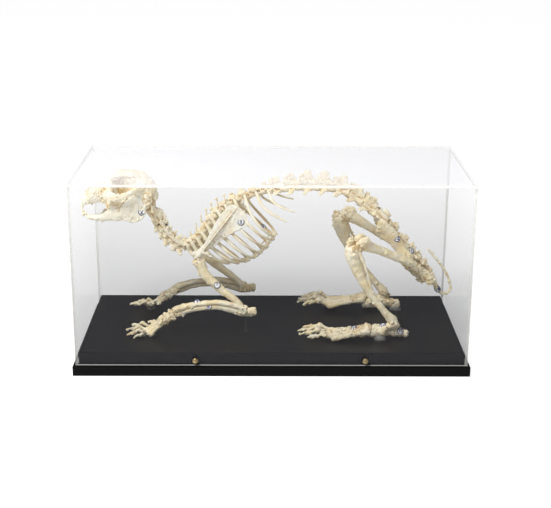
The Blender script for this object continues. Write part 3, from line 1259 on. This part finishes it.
# the case
def block(name, node, low, high, bevel, look, slot):
    item = joined(name, [box(world, low, high, bevel)])
    dress(item, looks[look], slot, node)
    for polygon in item.data.polygons:
        polygon.use_smooth = False
    return item


def panelOf(name, node):
    low, high = (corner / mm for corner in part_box(node))
    item = block(name, node, low, high, caseSpec["panelEdge"], "top" if node == "case_top" else "panel",
                 "clear_acrylic")
    item.data.materials.append(looks["edge"])
    size = [high[k] - low[k] for k in range(3)]
    thin = size.index(min(size))
    for polygon in item.data.polygons:
        if abs(polygon.normal[thin]) < 0.9:
            polygon.material_index = 1


def buildCase():
    low, high = (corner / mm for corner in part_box("base_board"))
    block("board", "base_board", low, high, caseSpec["boardEdge"], "board", "black_board")
    low, high = (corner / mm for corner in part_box("base_plinth"))
    block("plinth", "base_plinth", low, high, caseSpec["plinthEdge"], "plinth", "black_board")
    for place in ("front", "back", "left_end", "right_end", "top"):
        panelOf(f"panel_{place}", f"case_{place}")
    deep = caseSpec["depth"] / 2
    for label, face in (("front", -1), ("back", 1)):
        for number, x in enumerate(caseSpec["screwPlaces"], 1):
            seat = seatAt((x, face * (deep + gap), caseSpec["screwLevel"]), (0, face, 0), (1, 0, 0))
            rim = caseSpec["screwHead"]
            shank = caseSpec["screwShank"]
            turned = ((-caseSpec["screwDepth"], shank), (-0.1, shank), (0, rim * 0.97), (0.5, rim),
                      (1.1, rim * 0.93), (1.7, rim * 0.78), (2.1, rim * 0.5), (2.2, rim * 0.2))
            screw = tube(seat, [(x, 0, 0, r, r) for x, r in turned], sides=20, blunt=True, fine=len(turned))
            item = joined(f"screw_{label}_{number}.piece", [screw])
            tool = joined("slot", [box(seat, *caseSpec["screwSlot"])])
            addCut(item, tool)
            settle(item)
            bpy.data.objects.remove(tool)
            dress(item, looks["brass"], "brass", f"screw_{label}_{number}")


# build everything
buildCase()
print("case done")
buildHead()
print("head done")
buildNeck()
buildChest()
buildLoin()
buildTail()
buildRibCage()
print("trunk done")
for label, pose in limbs.items():
    buildHumerus(label, pose)
    buildForearm(label, pose)
    buildWrist(label, pose)
    buildHand(label, pose)
    buildFemur(label, pose)
    buildShin(label, pose)
    buildTarsus(label, pose)
    buildFoot(label, pose)
    buildScapula(label, pose)
    buildHip(label, pose)
    buildSupports(label, pose)
print("limbs done")


# dried tissue and glue over the joints: where, how far it reaches, how many lumps and their size
crustSpec = {
    "skullBack": ((-143, -14, 186), 9, 50, (0.8, 1.8)), "atlasJoint": ((-146, -12, 172), 9, 50, (0.8, 1.8)),
    "tailRoot": ((176, -8, 106), 17, 170, (1.0, 2.6)), "sitBone": ((184, -14, 98), 14, 120, (1.0, 2.4)),
    "elbowLeft": ((-34.5, -30, 55.5), 10, 70, (0.8, 1.8)),
    "elbowRight": ((-36, 30, 64.5), 10, 50, (0.8, 1.8)),
    "wristLeft": ((-131, -41, 44.5), 10, 110, (0.9, 1.9)),
    "wristRight": ((-135, 44, 45.5), 10, 90, (0.9, 1.9)),
    "forearmLeft": ((-117.5, -38, 54.5), 9, 80, (0.8, 1.7)),
    "forearmRight": ((-119.5, 39, 57), 9, 70, (0.8, 1.7)), "kneeLeft": ((98, -60, 146), 14, 90, (0.9, 2.0)),
    "kneeGlue": ((97, -66, 148), 8, 60, (1.2, 2.2), "amber"),
    "kneeRight": ((90, 60, 148), 15, 120, (1.0, 2.6)), "footLeft": ((118, -50, 38), 11, 130, (0.9, 2.0)),
    "footRight": ((120, 51, 42), 11, 110, (0.9, 2.0)), "ankleLeft": ((145, -50, 46), 11, 90, (0.9, 2.0)),
    "ankleRight": ((145, 50, 47), 11, 80, (0.9, 2.0)), "soleLeft": ((103, -50, 34), 13, 150, (1.1, 2.4)),
    "instepLeft": ((84, -50, 33), 13, 140, (1.0, 2.2)), "heelLeft": ((152, -52, 38), 13, 130, (1.1, 2.4)),
    "soleRight": ((104, 51, 36), 13, 120, (1.0, 2.2)), "heelRight": ((154, 52, 38), 13, 110, (1.0, 2.2)),
    "toesLeft": ((66, -50, 34), 12, 90, (0.8, 1.7)), "loinA": ((8, 0, 201), 12, 50, (0.6, 1.4)),
    "loinB": ((45, 0, 204), 12, 50, (0.6, 1.4)), "loinC": ((83, 0, 199), 13, 60, (0.7, 1.6)),
    "loinD": ((116, 0, 178), 13, 90, (0.7, 1.8)), "sacrumTop": ((143, 0, 150), 15, 130, (0.8, 2.0)),
    "shoulderLeft": ((-88, -24, 118), 9, 60, (0.8, 1.7)), "hipLeft": ((163, -21, 117), 10, 60, (0.8, 1.8)),
}


def buildCrust(name, centre, radius, count, sizes, look="tissue"):
    # lumps on the bones' own surface round a joint, fused into one rough crust
    rng = np.random.default_rng(sum(ord(letter) * (k + 3) for k, letter in enumerate(name)))
    middle = np.array(centre) * mm
    spots = np.concatenate([near[np.linalg.norm(near - middle, axis=1) < radius * mm] for near in boneSpots])
    lumps = []
    for spot in spots[rng.choice(len(spots), count, replace=False)]:
        bm = bmesh.new()
        fade = 1.15 - 0.6 * np.linalg.norm(spot - middle) / (radius * mm)
        size = rng.uniform(*sizes) * fade * mm
        stretch = Matrix.Diagonal((*rng.uniform(0.7, 1.3, 3), 1))
        seat = Matrix.Translation(Vector(spot)) @ stretch
        bmesh.ops.create_icosphere(bm, subdivisions=1, radius=size, matrix=seat)
        lumps.append(finished(bm))
    item = joined(f"crust_{name}", lumps)
    addFuse(item, 0.5)
    addSoften(item, 2)
    settle(item)
    markHollows(item, 8)
    dress(item, looks[look], "bone")


boneSpots = [pointsOf(item.data) for item in bones]
for name, spec in crustSpec.items():
    buildCrust(name, *spec)
print("tissue done")


# numbered labels: the numeral, the photograph's pixel and the bone that carries it
labelSpec = {
    "radius": 3.2, "rim": 0.8, "thickness": 0.3, "textSize": 6.2, "boldness": 0.3,
    "places": (("2", (141.6, 212), "mandible"), ("5", (241, 222), "scapula_left"),
               ("9", (263, 227.4), "rib"), ("6", (217.2, 285.2), "humerus_left"),
               ("7", (197.2, 302.5), "radius_left"), ("8", (208.4, 306.3), "ulna_left"),
               ("10", (173.1, 308.5), "wrist_left"), ("14", (346.4, 242.4), "tibia_fibula_left"),
               ("13", (380.4, 244.7), "femur_left"), ("12", (396.9, 238.5), "hip_bone_left"),
               ("11", (410.7, 250.8), "sacrum"), ("18", (437.5, 289.1), "caudal"),
               ("17", (354.3, 328.7), "foot_left"), ("16", (382.9, 326), "tarsus_left"),
               ("15", (400.3, 330.9), "tarsus_left")),
}


# dark ends of the wires that run through the bones
wireSpec = {"radius": 1.2, "places": (((158.4, 224.5), "cervical"), ((166, 224.5), "cervical"),
                                      ((192, 255), "humerus_left"))}
# the photograph's frame in pixels, and the camera's sensor in millimetres
photoSpec = {"width": 551, "middle": (275.5, 254), "sensor": 36}


def cameraAxes():
    pitch, yaw, roll = (math.radians(cameraSpec[key]) for key in ("pitch", "yaw", "roll"))
    ahead = Vector((math.sin(yaw) * math.cos(pitch), math.cos(yaw) * math.cos(pitch), -math.sin(pitch)))
    level = Vector((math.cos(yaw), -math.sin(yaw), 0))
    lift = level.cross(ahead)
    right = level * math.cos(roll) + lift * math.sin(roll)
    return right, lift * math.cos(roll) - level * math.sin(roll), ahead


def struckBone(pixel, carrier):
    # the nearest point of a bone on the photograph's line of sight through a pixel
    right, top, ahead = cameraAxes()
    middle = photoSpec["middle"]
    reach = cameraSpec["lens"] / photoSpec["sensor"] * photoSpec["width"]
    ray = (ahead * reach + right * (pixel[0] - middle[0]) - top * (pixel[1] - middle[1])).normalized()
    eye = Vector(cameraSpec["place"])
    best = None
    for item in bones:
        if item.name.startswith(carrier):
            struck, spot, normal, face = item.ray_cast(eye, ray)
            if struck and (best is None or (spot - eye).length < (best[0] - eye).length):
                best = (spot, normal)
    return best, ray


def buildDot(number, pixel, carrier):
    # the blunt dark end of a wire that runs through a bone
    best, ray = struckBone(pixel, carrier)
    if best is None:
        print("wire misses its bone", pixel, carrier)
        return
    dress(joined(f"wire_end_{number}", [ball(world, best[0] / mm, (wireSpec["radius"],) * 3)]),
          looks["wire"], "bone")


def buildLabel(number, text, pixel, carrier):
    top = cameraAxes()[1]
    best, ray = struckBone(pixel, carrier)
    if best is None:
        print("label misses its bone", text, carrier)
        return
    spot, normal = best
    facing = (normal * 0.8 - ray).normalized()
    side = top.cross(facing).normalized()
    turned = Matrix((side, facing.cross(side), facing)).transposed().to_4x4()
    seat = Matrix.Translation(spot + facing * 0.35 * mm) @ turned
    radius = labelSpec["radius"] * mm
    rim = radius + labelSpec["rim"] * mm

    def disk(name, low, high, depth, place):
        bm = bmesh.new()
        bmesh.ops.create_cone(bm, cap_ends=True, segments=40, radius1=low, radius2=high, depth=depth * mm,
                              matrix=place)
        return joined(f"{name}_{number}", [finished(bm)])

    disc = disk("label", radius, radius * 0.96, labelSpec["thickness"], seat)
    ring = disk("label_rim", rim, rim, 0.2, seat @ Matrix.Translation((0, 0, -0.06 * mm)))
    for item, look in ((disc, "label"), (ring, "ink")):
        dress(item, looks[look], "bone")
        for polygon in item.data.polygons:
            polygon.use_smooth = False
    curve = bpy.data.curves.new("numeral", "FONT")
    curve.body = text
    curve.size = labelSpec["textSize"] * mm * (1 if len(text) == 1 else 0.85)
    curve.align_x = "CENTER"
    curve.align_y = "CENTER"
    curve.extrude = 0.03 * mm
    curve.offset = labelSpec["boldness"] * mm
    holder = bpy.data.objects.new("numeral", curve)
    bpy.context.scene.collection.objects.link(holder)
    mesh = bpy.data.meshes.new_from_object(holder.evaluated_get(bpy.context.evaluated_depsgraph_get()))
    bpy.data.objects.remove(holder)
    mesh.transform(seat @ Matrix.Translation((0, 0, labelSpec["thickness"] / 2 * mm)))
    dress(joined(f"numeral_{number}", [mesh]), looks["ink"], "bone")


bpy.context.view_layer.update()
for number, (text, pixel, carrier) in enumerate(labelSpec["places"], 1):
    buildLabel(number, text, pixel, carrier)
for number, (pixel, carrier) in enumerate(wireSpec["places"], 1):
    buildDot(number, pixel, carrier)
print("labels done")


# floor, lights and camera
lightSpec = {
    "sky": 0.26, "floorGlow": 0.88,
    "lamps": (("key", (-0.75, -0.9, 1.6), (0, 0, 0.1), 0.6, 50),
              ("fill", (1.5, -1.0, 1.0), (0, 0, 0.1), 1.2, 5)),
}


def buildStage():
    bm = bmesh.new()
    bmesh.ops.create_grid(bm, x_segments=1, y_segments=1, size=12)
    floor = joined("floor", [finished(bm)])
    paint = plainLooks("paleFloor", (0.36, 0.36, 0.36), 0.9, spread=0.01, specular=0.05)
    shader = paint.node_tree.nodes["Principled BSDF"]
    shader.inputs["Emission Color"].default_value = (1, 1, 1, 1)
    shader.inputs["Emission Strength"].default_value = lightSpec["floorGlow"]
    floor.data.materials.append(paint)
    sky = bpy.data.worlds.new("sky")
    bpy.context.scene.world = sky
    sky.use_nodes = True
    sky.node_tree.nodes["Background"].inputs["Color"].default_value = (1, 1, 1, 1)
    sky.node_tree.nodes["Background"].inputs["Strength"].default_value = lightSpec["sky"]
    for name, place, aim, size, power in lightSpec["lamps"]:
        lamp = bpy.data.lights.new(name, "AREA")
        lamp.size = size
        lamp.energy = power
        holder = bpy.data.objects.new(name, lamp)
        turned = (Vector(aim) - Vector(place)).to_track_quat("-Z", "Y").to_matrix().to_4x4()
        holder.matrix_world = Matrix.Translation(place) @ turned
        bpy.context.scene.collection.objects.link(holder)


def buildCamera():
    right, top, ahead = cameraAxes()
    lens = bpy.data.cameras.new("camera")
    lens.sensor_width = photoSpec["sensor"]
    lens.lens = cameraSpec["lens"]
    lens.clip_start = 0.01
    holder = bpy.data.objects.new("camera", lens)
    turned = Matrix((right, top, -ahead)).transposed().to_4x4()
    holder.matrix_world = Matrix.Translation(cameraSpec["place"]) @ turned
    bpy.context.scene.collection.objects.link(holder)
    bpy.context.scene.camera = holder
    bpy.context.scene.view_settings.view_transform = "Standard"


buildStage()
buildCamera()
